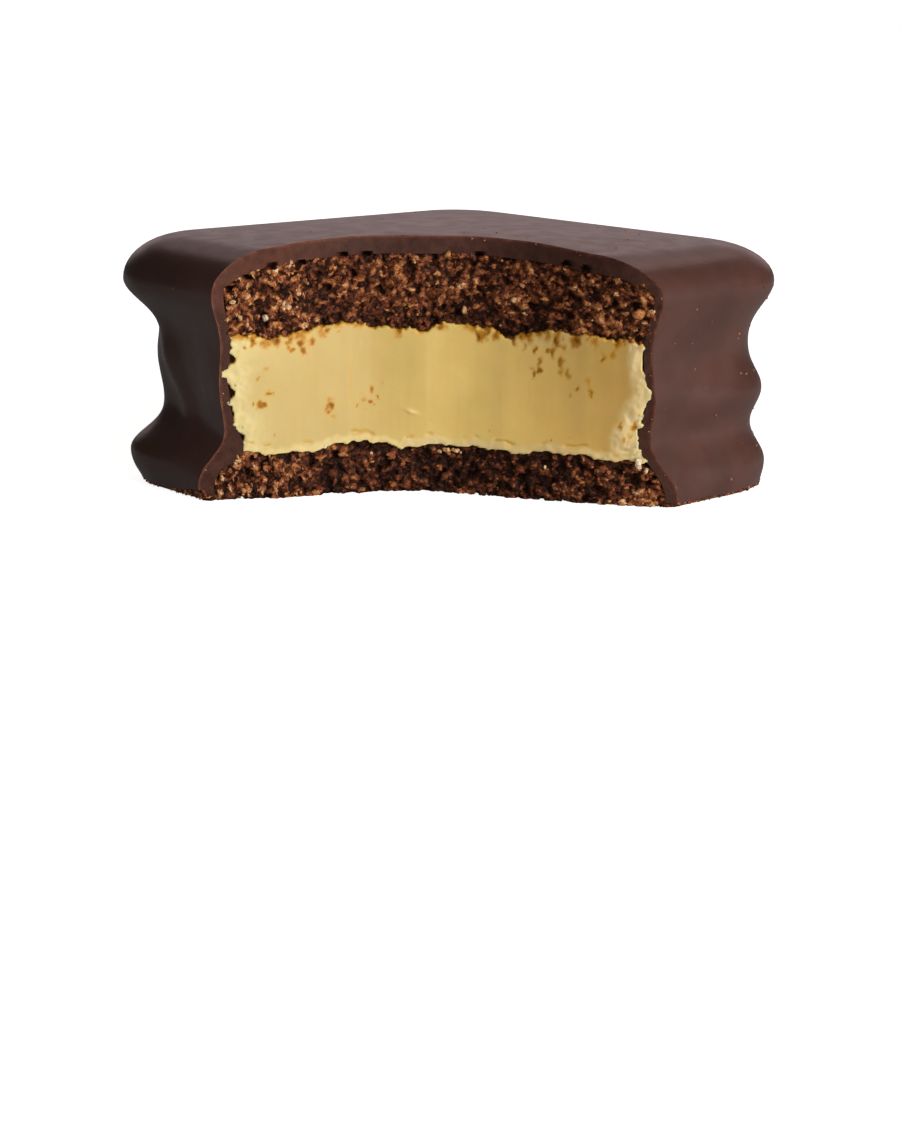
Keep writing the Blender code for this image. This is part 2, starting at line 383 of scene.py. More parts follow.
def bite(low, high, fineness, relief, finish):
    """The bitten-off volume between two heights; relief is how far the face stands proud."""
    shape = bmesh.new()
    columns = int(2 * BITE_HALF_WIDTH / fineness)
    rows = int((high - low) / fineness)
    bmesh.ops.create_grid(shape, x_segments=columns, y_segments=rows, size=1.0)
    for vert in shape.verts:
        x = BITE_HALF_WIDTH * vert.co.x
        height = low + (high - low) * (0.5 + 0.5 * vert.co.y)
        vert.co = (x, bite_wall(x, height) - relief(x, height), height)
    pulled = bmesh.ops.extrude_face_region(shape, geom=shape.faces[:])
    for item in pulled["geom"]:
        if isinstance(item, bmesh.types.BMVert):
            item.co.y = BITE_FRONT_Y
    bmesh.ops.recalc_face_normals(shape, faces=shape.faces)
    return as_object("bite", shape, finish)


def carve(piece, *cutters, crease=180.0):
    """Take the cutters out of the piece for good; edges sharper than the crease stay crisp."""
    for cutter in cutters:
        modifier = piece.modifiers.new("carve", "BOOLEAN")
        modifier.operation = "DIFFERENCE"
        modifier.solver = "EXACT"
        modifier.material_mode = "TRANSFER"
        modifier.object = cutter
    bpy.context.view_layer.update()
    graph = bpy.context.evaluated_depsgraph_get()
    carved = bpy.data.meshes.new_from_object(piece.evaluated_get(graph), depsgraph=graph)
    piece.modifiers.clear()
    carved.set_sharp_from_angle(angle=math.radians(crease))
    piece.data = carved
    for cutter in cutters:
        bpy.data.objects.remove(cutter)


def finish_material(name):
    """A new node material: its tree, its Principled shader and its object coordinates."""
    made = bpy.data.materials.new(name)
    made.use_nodes = True
    tree = made.node_tree
    shader = tree.nodes["Principled BSDF"]
    place = tree.nodes.new("ShaderNodeTexCoord")
    return made, tree, shader, place.outputs["Object"]


def speckle_group():
    """Shared effect: soft noise of one grain size, as a value and as a colour between two others."""
    group = bpy.data.node_groups.new("speckle", "ShaderNodeTree")
    inputs = (("Place", "Vector"), ("Grain", "Float"), ("Low", "Float"), ("High", "Float"),
              ("Dark", "Color"), ("Light", "Color"))
    for name, kind in inputs:
        group.interface.new_socket(name, in_out="INPUT", socket_type="NodeSocket" + kind)
    for name, kind in (("Mask", "Float"), ("Colour", "Color")):
        group.interface.new_socket(name, in_out="OUTPUT", socket_type="NodeSocket" + kind)
    nodes = group.nodes
    entry = nodes.new("NodeGroupInput")
    leave = nodes.new("NodeGroupOutput")
    texture = nodes.new("ShaderNodeTexNoise")
    texture.inputs["Detail"].default_value = 4.0
    stretch = nodes.new("ShaderNodeMapRange")
    stretch.interpolation_type = "SMOOTHSTEP"
    blend = nodes.new("ShaderNodeMix")
    blend.data_type = "RGBA"
    link = group.links.new
    link(entry.outputs["Place"], texture.inputs["Vector"])
    link(entry.outputs["Grain"], texture.inputs["Scale"])
    link(texture.outputs["Fac"], stretch.inputs["Value"])
    link(entry.outputs["Low"], stretch.inputs["From Min"])
    link(entry.outputs["High"], stretch.inputs["From Max"])
    link(stretch.outputs["Result"], blend.inputs["Factor"])
    link(entry.outputs["Dark"], blend.inputs["A"])
    link(entry.outputs["Light"], blend.inputs["B"])
    link(stretch.outputs["Result"], leave.inputs["Mask"])
    link(blend.outputs["Result"], leave.inputs["Colour"])
    return group


SPECKLE = speckle_group()


def speckle(tree, place, grain, low, high, dark=(0, 0, 0), light=(1, 1, 1)):
    """Put the shared noise in a material, with lumps of this size in metres."""
    node = tree.nodes.new("ShaderNodeGroup")
    node.node_tree = SPECKLE
    tree.links.new(place, node.inputs["Place"])
    node.inputs["Grain"].default_value = 1.0 / grain
    node.inputs["Low"].default_value = low
    node.inputs["High"].default_value = high
    node.inputs["Dark"].default_value = (*dark, 1.0)
    node.inputs["Light"].default_value = (*light, 1.0)
    return node


def mix(tree, factor, first, second, blend="MIX"):
    """Blend two colours; each of the three is a socket or fixed."""
    node = tree.nodes.new("ShaderNodeMix")
    node.data_type = "RGBA"
    node.blend_type = blend
    for socket, value in (("Factor", factor), ("A", first), ("B", second)):
        if isinstance(value, float):
            node.inputs[socket].default_value = value
        elif isinstance(value, tuple):
            node.inputs[socket].default_value = (*value, 1.0)
        else:
            tree.links.new(value, node.inputs[socket])
    return node.outputs["Result"]


def bump(tree, shader, height, depth):
    """Fine relief of this depth in metres."""
    node = tree.nodes.new("ShaderNodeBump")
    node.inputs["Distance"].default_value = depth
    node.inputs["Strength"].default_value = 1.0
    tree.links.new(height, node.inputs["Height"])
    tree.links.new(node.outputs["Normal"], shader.inputs["Normal"])


def grainy(tree, shader, place, grain, depth):
    """Give a finish a fine grain of this size and depth."""
    bump(tree, shader, speckle(tree, place, grain, 0.30, 0.70).outputs["Mask"], depth)


def across(tree, place, start, end):
    """0 to 1 between two places along X."""
    axes = tree.nodes.new("ShaderNodeSeparateXYZ")
    tree.links.new(place, axes.inputs["Vector"])
    node = tree.nodes.new("ShaderNodeMapRange")
    node.inputs["From Min"].default_value = start
    node.inputs["From Max"].default_value = end
    tree.links.new(axes.outputs["X"], node.inputs["Value"])
    return node.outputs["Result"]


def vary(tree, mask, low, high, socket):
    """Drive a socket from low to high by a mask."""
    node = tree.nodes.new("ShaderNodeMapRange")
    node.inputs["To Min"].default_value = low
    node.inputs["To Max"].default_value = high
    tree.links.new(mask, node.inputs["Value"])
    tree.links.new(node.outputs["Result"], socket)


def attribute(tree, name):
    """A value stored on the mesh."""
    node = tree.nodes.new("ShaderNodeAttribute")
    node.attribute_name = name
    return node.outputs["Fac"]


def chocolate_skin():
    """Semi-gloss set chocolate with faint mottling, and painted shade that darkens it towards the left."""
    made, tree, shader, place = finish_material("dark chocolate skin")
    mottle = speckle(tree, place, 0.0060, 0.35, 0.65, *SKIN_COLOURS)
    # Painted shade: the skin darkens towards the left.
    colour = mix(tree, across(tree, place, *PAINTED_LEFT_SHADE_X), mottle.outputs["Colour"], PAINTED_LEFT_SHADE)
    tree.links.new(colour, shader.inputs["Base Color"])
    bloom = speckle(tree, place, 0.0022, 0.30, 0.70)
    vary(tree, bloom.outputs["Mask"], 0.29, 0.36, shader.inputs["Roughness"])
    grainy(tree, shader, place, 0.0004, 0.000005)
    shader.inputs["IOR"].default_value = 1.48
    return made


def chocolate_snap():
    """Matte snapped chocolate, with a thin warm line along its outer edge that is partly a painted
    highlight.
    """
    made, tree, shader, place = finish_material("snapped chocolate")
    mottle = speckle(tree, place, 0.0012, 0.30, 0.70, *SNAP_COLOURS)
    colour = mix(tree, attribute(tree, "edge"), mottle.outputs["Colour"], WARM_EDGE_AND_HIGHLIGHT)
    tree.links.new(colour, shader.inputs["Base Color"])
    shader.inputs["Roughness"].default_value = 0.62
    shader.inputs["Specular IOR Level"].default_value = 0.12
    grainy(tree, shader, place, 0.00018, 0.00003)
    return made


def pit(x, z):
    """1 in the air pockets between the chocolate and the biscuit."""
    wide, tall = AIR_POCKET_SIZE
    depths = [math.exp(-(((x - px) / wide) ** 2 + ((z - pz) / tall) ** 2)) for px, pz in AIR_POCKETS]
    return ease(0.20, 0.60, max(depths))


def snap_relief(x, height):
    """Shallow chips in the snapped chocolate, and half of each air pocket."""
    return uneven(x, 0.0, height, SNAP_CHIPS) - AIR_POCKET_DEPTH * pit(x, height)


def edge_line_and_highlight(spot):
    """The snap's warm edge: a crumbly line along the outer edge, partly a painted highlight, and lighter
    chocolate at the upper left.
    """
    crumbly = 0.65 + 0.60 * rough(spot.x, spot.y, spot.z, 0.0007, 8.0)
    lighter = 0.32 * ease(-0.009, -0.018, spot.x) * ease(0.0185, 0.0215, spot.z)
    # The line along the outer edge is partly a painted highlight.
    line = 1.0 - ease(0.0, EDGE_WIDTH, clearance(spot.x, spot.y, spot.z, 0.0))
    return crumbly * max(line, lighter)


def store(piece, name, values):
    """Keep one value for each vertex."""
    layer = piece.data.attributes.new(name, "FLOAT", "POINT")
    layer.data.foreach_set("value", values)


def paint(piece, name, value_at):
    """Keep a value for each vertex, worked out from its place about the whole cookie's middle."""
    store(piece, name, [value_at(vert.co - CENTRE) for vert in piece.data.vertices])


skin_finish = chocolate_skin()
snap_finish = chocolate_snap()

coat_rings = [hem_ring(HEM_LIP), hem_ring(0.0)]
coat_rings += [side_ring(level, 0.0) for level in spaced(HEM_TOP, BULGE_HEIGHT, 52)]
coat_rings += [shoulder_ring(share, 0.0) for share in spaced(0.08, 1.0, 12)]
coat_rings += [top_ring(share, 0.0) for share in spaced(0.97, 0.03, 36)]
coat = as_object("coating", loft(coat_rings, 360), skin_finish)

hollow_rings = [side_ring(-BITE_MARGIN, 1.0)]
hollow_rings += [side_ring(level, 1.0) for level in spaced(0.0, BULGE_HEIGHT, 30)]
hollow_rings += [shoulder_ring(share, 1.0) for share in spaced(0.15, 1.0, 7)]
hollow_rings += [top_ring(share, 1.0) for share in spaced(0.93, 0.05, 20)]
hollow = as_object("hollow", loft(hollow_rings, 240), snap_finish)
snap = bite(-BITE_MARGIN, HEIGHT + BITE_MARGIN, SNAP_FINENESS, snap_relief, snap_finish)
carve(coat, snap, hollow, crease=SNAP_CREASE)
paint(coat, "edge", edge_line_and_highlight)
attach(coat, "root")
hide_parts("chocolate_coating")

# ---------------------------------------------------------------------------------------------
# Upper biscuit
# Dark cocoa biscuit, torn by the bite into an open, moist crumb with pits along the chocolate.
# The core is the pitted face behind; coarse and fine crumbs of true size stand on it.
# ---------------------------------------------------------------------------------------------
CREAM_TOP = 0.0177
CREAM_FOOT = 0.0050
LAYER_WAVE = 0.00035
LAYER_WAVE_LENGTH = 0.0115
LAYER_TEARS = ((0.00042, 0.0021, 6.0), (0.00026, 0.0009, 8.0))
LAYER_OVERLAP = 0.00055
LAYER_LAP = 0.0009
CORE_BURIED = 0.72
CHUNK_DEPTH = 0.00075
CHUNK_PLACE = (0.0066, 0.0006)
SEAM_RAGS = ((0.00045, 0.0014, 31.0), (0.00026, 0.0005, 34.0))
BORDER_RAGS = ((0.00028, 0.0016, 0.0), (0.00018, 0.0006, 2.0))
BORDER_SPREAD = 0.00012
BORDER_RIGHT_SPREAD = 0.00045
BORDER_SOFTNESS = 0.00008
HIDDEN_DEPTH = 0.0010
UPPER_TEAR = 4.0
TORN_FINENESS = 0.00015
TORN_PAST_SEAM = 0.0025
TORN_PAST_END = 0.0010
BIG_LUMP = 0.00095
BIG_LUMP_DOME = 0.00030
BIG_LUMP_STEP = 0.00036
SMALL_LUMP = 0.00042
SMALL_LUMP_DOME = 0.00018
LUMP_GRAIN = ((0.00012, 0.00028, 4.0),)
VOID_GRAIN = 0.0011
VOID_SEED = 7.0
VOID_DEPTH = 0.00060
WALL_BUILD_UP = 0.00022
COARSE_STEP = 0.00080
FINE_STEP = 0.00038
COARSE_SIZES = (0.00016, 0.00040)
FINE_SIZES = (0.00007, 0.00019)
CRUMB_TOP = 0.0262
CRUMB_SPAN = 0.0520
CRUMB_PAST_SEAM = 0.0008
CRUMB_REACH = 1.6
TALL_FLAKE_X = -0.0145
TALL_FLAKES = (1.4, 2.2)
FLAT_FLAKES = (0.5, 1.0)
# A marked crumb is a place across the face, a height, a size and a shade.
PALE_CRUMBS = ((-0.0188, 0.0194, 0.00036, 0.96), (-0.0170, 0.0207, 0.00028, 0.90),
               (-0.0220, 0.0213, 0.00030, 0.85), (0.0018, 0.0195, 0.00036, 0.80),
               (0.0070, 0.0208, 0.00032, 0.82), (0.0194, 0.0205, 0.00055, 0.66))
BISCUIT_COLOURS = ((0.045, 0.0160, 0.0085), (0.120, 0.0450, 0.0220))
CRUMB_COLOURS = ((0.00, (0.017, 0.0055, 0.0028)), (0.22, (0.082, 0.0245, 0.0100)),
                 (0.40, (0.185, 0.0520, 0.0210)), (0.50, (0.245, 0.0850, 0.0340)),
                 (0.62, (0.380, 0.1380, 0.0430)), (0.78, (0.500, 0.2450, 0.0950)),
                 (1.00, (0.760, 0.6200, 0.4200)))
CRUMB_TINTS = ((0.48, 0.44, 0.41), (1.32, 1.32, 1.32))


def layer_wave(x, y):
    """Unevenness of the face between two layers."""
    along = math.sin(2.0 * math.pi * x / LAYER_WAVE_LENGTH + 0.8)
    aslant = math.sin(2.0 * math.pi * (y + 0.4 * x) / (1.4 * LAYER_WAVE_LENGTH))
    return 0.5 * LAYER_WAVE * (along + aslant) + uneven(x, y, 0.0, LAYER_TEARS)


def layer_ring(height):
    """Ring on a layer's side, which runs a little way into the coating."""
    def place(angle):
        inset = draped_inset(angle, height) + skin_depth(angle, height)
        return reach(angle, inset - LAYER_OVERLAP), height
    return place


def face_ring(share, level):
    """Ring on the uneven face between two layers."""
    def place(angle):
        distance = share * layer_ring(level)(angle)[0]
        height = level + layer_wave(*spot_at(distance, angle))
        return share * layer_ring(height)(angle)[0], height
    return place


def seam_height(x, level):
    """Height of the wavy line between two layers on the bitten face."""
    return level + layer_wave(x, bite_wall(x, level))


def seam(x, z, level, raggedness=1.0, chunk=0.0):
    """0 below the ragged line between two layers and 1 above it; a chunk hangs down from it."""
    line = seam_height(x, level) - chunk * swell(x, *CHUNK_PLACE)
    above = z - line + raggedness * uneven(x, 0.0, z, SEAM_RAGS)
    return ease(-BORDER_SOFTNESS, BORDER_SOFTNESS, above)


def above_cream(x, z):
    """1 above the line between the cream and the upper biscuit."""
    return seam(x, z, CREAM_TOP, 1.0, CHUNK_DEPTH)


def bared(x, z, seed, raggedness=1.0, cling=0.0):
    """1 where a layer shows and 0 where the coating covers it, with a ragged border."""
    wall = bite_wall(x, z)
    if z < hem(math.atan2(wall, x)) + 0.0001:
        return 1.0
    ragged = raggedness * uneven(x, 0.0, z, BORDER_RAGS, seed)
    right = BORDER_RIGHT_SPREAD * ease(0.016, 0.019, x) * ease(0.0172, 0.0182, z)
    inside = clearance(x, wall, z, 1.0) + ragged + cling + BORDER_SPREAD + right
    return ease(-BORDER_SOFTNESS, BORDER_SOFTNESS, inside)


def upper_shown(x, z):
    """1 where the bite shows the upper biscuit."""
    return bared(x, z, 61.0) * above_cream(x, z)


def sunk(relief, shown):
    """A relief that drops away where its layer does not show."""
    return lambda x, z: -HIDDEN_DEPTH + shown(x, z) * (relief(x, z) + HIDDEN_DEPTH)


def broken_cells(x, z, grain, seed):
    """Broken lumps of about this size: a dome from 0 in the gaps to 1, and each lump's own value."""
    shift_x = 0.25 * rough(x, 0.0, z, 0.9 * grain, seed)
    shift_z = 0.25 * rough(x, 0.0, z, 0.9 * grain, seed + 20.0)
    nearest, owners = noise.voronoi(Vector((x / grain + shift_x, seed, z / grain + shift_z)))
    return ease(0.02, 0.55, nearest[1] - nearest[0]), noise.cell(37.0 * owners[0])


def torn_face(x, z, seed):
    """Open crumb: how far it stands proud of the bite, and its shade from pit to toasted, with painted
    shade in its gaps, voids and pockets, above the cream and on the lower biscuit, and painted light on
    the right.
    """
    dome, height = broken_cells(x, z, BIG_LUMP, seed)
    small_dome, small_height = broken_cells(x, z, SMALL_LUMP, seed + 5.0)
    void = ease(0.28, 0.52, rough(x, 0.0, z, VOID_GRAIN, seed + VOID_SEED))
    proud = BIG_LUMP_DOME * (dome - 1.0) + BIG_LUMP_STEP * (height - 0.5) + SMALL_LUMP_DOME * small_dome
    proud += uneven(x, 0.0, z, LUMP_GRAIN, seed) - VOID_DEPTH * void
    proud += WALL_BUILD_UP * ease(0.0012, 0.0003, clearance(x, bite_wall(x, z), z, 1.0))
    # Shade: each lump's random tone, with painted shade: lighter on the lump tops and on the big lumps
    # that stand proud, darker in the gaps between them.
    shade = 0.47 + 0.08 * dome + 0.20 * (height - 0.5) + 0.10 * small_dome + 0.34 * (small_height - 0.5)
    # Slow random patches, lighter towards the left with stronger contrast there, and painted light on the
    # right part of the face, which turns away from the main light.
    shade += 0.14 * rough(x, 0.0, z, 0.0030, seed + 9.0) + 0.09 * ease(-0.012, -0.018, x)
    shade += 0.07 * ease(0.006, 0.013, x) + 0.16 * (small_height - 0.5) * ease(-0.010, -0.016, x)
    # Painted shade: darker just above the cream and over the whole lower biscuit, most near the middle,
    # then darker again in the middle of the lower biscuit.
    shade -= (0.08 + 0.12 * swell(x, 0.003, 0.008)) * ease(0.0022, 0.0004, z - CREAM_TOP)
    shade -= 0.10 * swell(x, 0.001, 0.009) * ease(0.0075, 0.0055, z)
    # Painted shade in the voids and the air pockets.
    pocket = pit(x, z)
    return proud - AIR_POCKET_DEPTH * pocket, max(shade - 0.32 * void - 0.6 * pocket, 0.0)


def ramp(tree, value, stops):
    """A colour for each stretch of a value; a stop is a place and a colour."""
    node = tree.nodes.new("ShaderNodeValToRGB")
    elements = node.color_ramp.elements
    while len(elements) < len(stops):
        elements.new(0.5)
    for element, (spot, colour) in zip(elements, stops):
        element.position = spot
        element.color = (*colour, 1.0)
    tree.links.new(value, node.inputs["Fac"])
    return node.outputs["Color"]


def bare_biscuit():
    """Bare baked biscuit, as it shows underneath."""
    made, tree, shader, place = finish_material("cocoa biscuit")
    grain = speckle(tree, place, 0.00060, 0.30, 0.70, *BISCUIT_COLOURS)
    tree.links.new(grain.outputs["Colour"], shader.inputs["Base Color"])
    shader.inputs["Roughness"].default_value = 0.75
    shader.inputs["Specular IOR Level"].default_value = 0.30
    grainy(tree, shader, place, 0.00016, 0.00004)
    return made


def cocoa_crumb():
    """Moist crumbs: each has its own shade, from near black to toasted, and a few are pale; on the torn
    faces the shade also holds painted shade and light.
    """
    made, tree, shader, place = finish_material("cocoa crumb")
    colour = ramp(tree, attribute(tree, "shade"), CRUMB_COLOURS)
    grain = speckle(tree, place, 0.00020, 0.28, 0.72)
    tint = mix(tree, grain.outputs["Mask"], *CRUMB_TINTS)
    tree.links.new(mix(tree, 1.0, colour, tint, "MULTIPLY"), shader.inputs["Base Color"])
    vary(tree, grain.outputs["Mask"], 0.60, 0.42, shader.inputs["Roughness"])
    shader.inputs["Specular IOR Level"].default_value = 0.08
    bump(tree, shader, grain.outputs["Mask"], 0.00005)
    return made


def lumps(columns, rows, roughness, seed):
    """Eight lumpy little forms of radius 1: the points of each, and the faces that they share."""
    shape = bmesh.new()
    bmesh.ops.create_uvsphere(shape, u_segments=columns, v_segments=rows, radius=1.0)
    points = [vert.co.copy() for vert in shape.verts]
    shape.verts.index_update()
    faces = [[vert.index for vert in face.verts] for face in shape.faces]
    shape.free()
    forms = []
    for kind in range(8):
        sizes = [1.0 + roughness * rough(*point, 0.9, seed + 3.1 * kind) for point in points]
        forms.append(np.array([size * point for size, point in zip(sizes, points)]))
    return forms, faces


def scatter(name, spots, shapes, finish, seed):
    """Small lumps joined in one piece; a spot is a place, a size, an upright stretch and a shade.

    The stretched ones lean over to the left.
    """
    picker = random.Random(seed)
    forms, faces = shapes
    points, corners, shades = [], [], []
    for number, (place, size, stretch, shade) in enumerate(spots):
        form = forms[picker.randrange(len(forms))]
        turn = Euler([picker.uniform(0.0, 2.0 * math.pi) for axis in range(3)]).to_matrix()
        squash = np.array([picker.uniform(0.55, 1.30) for axis in range(3)])
        upright = np.array([stretch ** -0.5, stretch ** -0.5, stretch])
        crumb = (form * squash) @ np.array(turn).T * size * upright
        crumb[:, 0] -= 0.30 * (stretch > 1.0) * crumb[:, 2]
        points.append(crumb + np.array(place))
        first = number * len(form)
        corners.extend([[first + corner for corner in face] for face in faces])
        shades.extend([shade] * len(form))
    mesh = bpy.data.meshes.new(name)
    mesh.from_pydata((np.concatenate(points) + np.array(CENTRE)).tolist(), [], corners)
    made = show(name, mesh, finish)
    store(made, "shade", shades)
    return made


def torn_spots(low, high, step, sizes, seed, shown):
    """Places for crumbs over the torn face between two heights, left out where it is open."""
    picker = random.Random(step * 1.0e6 + seed)
    spots = []
    for row in range(int((high - low + 2.0 * CRUMB_PAST_SEAM) / step)):
        for column in range(int(CRUMB_SPAN / step)):
            x = -0.5 * CRUMB_SPAN + (column + picker.uniform(-0.3, 1.3)) * step
            z = low - CRUMB_PAST_SEAM + (row + picker.uniform(-0.3, 1.3)) * step
            size = picker.uniform(*sizes)
            tall = x < TALL_FLAKE_X and picker.random() < 0.40
            flake = picker.uniform(*(TALL_FLAKES if tall else FLAT_FLAKES))
            z = max(z, CRUMB_REACH * size * flake)
            void = rough(x, 0.0, z, VOID_GRAIN, seed + VOID_SEED) > 0.30
            if void or pit(x, z) > 0.25 or shown(x, z) < 0.5:
                continue
            # The crumb takes the torn face's shade here, painted shade and light included.
            proud, shade = torn_face(x, z, seed)
            y = bite_wall(x, z) - proud + size * picker.uniform(0.15, 0.90)
            if clearance(x, y, z, 0.0) < 1.5 * size:
                continue
            shade += 0.06 + picker.gauss(0.0, 0.11) + 0.18 * tall + 0.35 * (picker.random() < 0.012)
            spots.append(((x, y, z), size, flake, clamp(shade, 0.0, 0.84)))
    return spots


def marked_spots(crumbs):
    """Crumbs that stand out, each a place across the face, a height, a size and a shade."""
    return [((x, bite_wall(x, z) - 0.4 * size, z), size, 1.0, shade) for x, z, size, shade in crumbs]


def tear(core, low, high, seed, shown):
    """Bite a core between two heights to a torn face that keeps its shade, painted shade and light
    included.
    """
    relief = sunk(lambda x, z: torn_face(x, z, seed)[0], shown)
    carve(core, bite(low, high, TORN_FINENESS, relief, crumb_finish))
    paint(core, "shade", lambda spot: torn_face(spot.x, spot.z, seed)[1])


def crumbs_on(layer, low, high, seed, shown, marked, form_seed):
    """A torn layer's coarse crumbs, with the marked ones, and its fine crumbs."""
    coarse = torn_spots(low, high, COARSE_STEP, COARSE_SIZES, seed, shown) + marked_spots(marked)
    fine = torn_spots(low, high, FINE_STEP, FINE_SIZES, seed, shown)
    return [scatter(layer + "_coarse_crumbs", coarse, coarse_lumps, crumb_finish, form_seed),
            scatter(layer + "_fine_crumbs", fine, fine_lumps, crumb_finish, form_seed + 1)]


biscuit_finish = bare_biscuit()
crumb_finish = cocoa_crumb()
coarse_lumps = lumps(9, 7, 0.60, 1.0)
fine_lumps = lumps(6, 5, 0.50, 2.0)

upper_rings = [face_ring(share, CREAM_TOP - LAYER_LAP) for share in spaced(0.04, 1.0, 24)]
upper_rings += [layer_ring(level) for level in spaced(CREAM_TOP, BULGE_HEIGHT, 10)]
upper_rings += [shoulder_ring(share, CORE_BURIED) for share in spaced(0.15, 1.0, 7)]
upper_rings += [top_ring(share, CORE_BURIED) for share in spaced(0.93, 0.05, 20)]
upper_core = as_object("upper_biscuit_core", loft(upper_rings, 240), biscuit_finish)
tear(upper_core, CREAM_TOP - TORN_PAST_SEAM, HEIGHT + TORN_PAST_END, UPPER_TEAR, upper_shown)
upper_pieces = [upper_core]
upper_pieces += crumbs_on("upper", CREAM_TOP, CRUMB_TOP, UPPER_TEAR, upper_shown, PALE_CRUMBS, 21)
for piece in upper_pieces:
    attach(piece, "root")
    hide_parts("top_biscuit")

# ---------------------------------------------------------------------------------------------
# Lower biscuit
# The same cocoa biscuit, thinner. Its foot runs out under the coating's ragged hem, with crumbs
# all round, and its underside is bare, flat and porous.
# ---------------------------------------------------------------------------------------------
LOWER_TEAR = 31.0
LOWER_RAGGEDNESS = 0.4
BASE_SPREAD = 0.00045
PORE_DEPTH = 0.00028
FOOT_CRUMBS = 950
FOOT_SIZES = (0.00006, 0.00019)
CREAM_BITS = ((0.0198, 0.0047, 0.00050, 0.97), (0.0206, 0.0040, 0.00026, 0.90),
              (-0.0008, 0.00450, 0.00025, 0.82), (-0.0003, 0.00466, 0.00021, 0.76),
              (0.0001, 0.00456, 0.00027, 0.82), (0.0006, 0.00468, 0.00023, 0.78),
              (0.0010, 0.00460, 0.00027, 0.84), (0.0014, 0.00444, 0.00019, 0.76),
              (0.0002, 0.00425, 0.00018, 0.60), (0.0103, 0.0037, 0.00019, 0.92))


def foot_ring(height, inset):
    """Ring on the foot that shows below the coating's hem; height is a share of the hem's."""
    def place(angle):
        level = hem(angle) * height
        return reach(angle, draped_inset(angle, level) + inset), level
    return place


def base_ring(share):
    """Ring on the underside, with pores that reach up into the biscuit."""
    def place(angle):
        distance = share * foot_ring(0.0, BASE_SPREAD)(angle)[0]
        x, y = spot_at(distance, angle)
        pores = ease(0.10, 0.55, rough(x, y, 0.0, 0.0016, 4.0)) + 0.4 * abs(rough(x, y, 0.0, 0.0007, 5.0))
        return distance, PORE_DEPTH * pores * ease(1.0, 0.92, share)
    return place


def above_lower(x, z):
    """1 above the line between the lower biscuit and the cream."""
    return seam(x, z, CREAM_FOOT, LOWER_RAGGEDNESS)


def lower_shown(x, z):
    """1 where the bite shows the lower biscuit."""
    return bared(x, z, 71.0) * (1.0 - above_lower(x, z))


def foot_crumbs(seed):
    """Crumbs along the hem, all round the foot."""
    picker = random.Random(seed)
    spots = []
    for crumb in range(FOOT_CRUMBS):
        angle = math.radians(picker.uniform(-180.0, 180.0))
        size = picker.uniform(*FOOT_SIZES)
        level = picker.uniform(0.25, 1.05) * hem(angle)
        x, y = spot_at(reach(angle, draped_inset(angle, level) + 0.4 * size), angle)
        z = max(level, CRUMB_REACH * size)
        if y > bite_wall(x, z) + size:
            spots.append(((x, y, z), size, 1.0, clamp(0.40 + picker.gauss(0.0, 0.16))))
    return spots


lower_rings = [base_ring(share) for share in spaced(0.02, 1.0, 56)]
lower_rings += [foot_ring(0.35, 0.00012), foot_ring(1.03, 0.00022), foot_ring(1.03, SIDE_COAT)]
lower_rings += [layer_ring(level) for level in spaced(HEM_TOP + 0.0004, CREAM_FOOT, 6)]
lower_rings += [face_ring(share, CREAM_FOOT + LAYER_LAP) for share in spaced(1.0, 0.04, 24)]
lower_core = as_object("lower_biscuit_core", loft(lower_rings, 300), biscuit_finish)
tear(lower_core, -TORN_PAST_END, CREAM_FOOT + TORN_PAST_SEAM, LOWER_TEAR, lower_shown)
lower_pieces = [lower_core]
lower_pieces += crumbs_on("lower", 0.0, CREAM_FOOT, LOWER_TEAR, lower_shown, CREAM_BITS, 23)
lower_pieces += [scatter("foot_crumbs", foot_crumbs(15), fine_lumps, crumb_finish, 25)]
for piece in lower_pieces:
    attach(piece, "root")
    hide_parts("bottom_biscuit")

# ---------------------------------------------------------------------------------------------
# Cream
# Firm yellow cream that the teeth sliced smooth, with faint upright scrape lines. It broke pale
# and rough against the chocolate and along the lower biscuit, and crumbs were dragged over it.
# ---------------------------------------------------------------------------------------------
SLICED_FINENESS = 0.00016
CREAM_WAVES = ((0.00016, 0.0060, 1.0), (0.00004, 0.0020, 2.0))
SCRAPE_DEPTH = 0.000012
SCRAPE_SIZE = (0.00060, 0.0080)
RIM_WANDER = ((0.0007, 0.0030, 3.0), (0.0003, 0.0009, 4.0))
RIM_CURDS = ((0.00016, 0.0011, 3.0), (0.00012, 0.0005, 6.0), (0.00007, 0.00022, 8.0))
RIM_RISE = 0.00004
CRACK_RISE = 0.0011
CRACK_WIDTH = 0.00018
CRACK_DEPTH = 0.00028
CURL_PLACE = (-0.0039, 0.0087)
CURL_SIZE = (0.00042, 0.00013)
CURL_SLOPE = 0.35
CURL_RISE = 0.00022
LEFT_RAG = (0.0008, 0.0135, 0.0005)
LEFT_GAPS = ((0.0007, 0.0151, 0.0004), (0.0007, 0.0117, 0.0005))
SEAM_CRUMBS = 46
LOOSE_SPECKS = 12
CURD_TRIES = 9000
CURD_SIZES = (0.00010, 0.00032)
DRAG_WIDTH = 2.0
DRAG_LENGTH = 2.8
LONG_DRAG_LENGTH = 4.2
LONG_DRAG_X = 0.006
OLD_SCRAPE = (0.22, -0.0103, 0.00014)
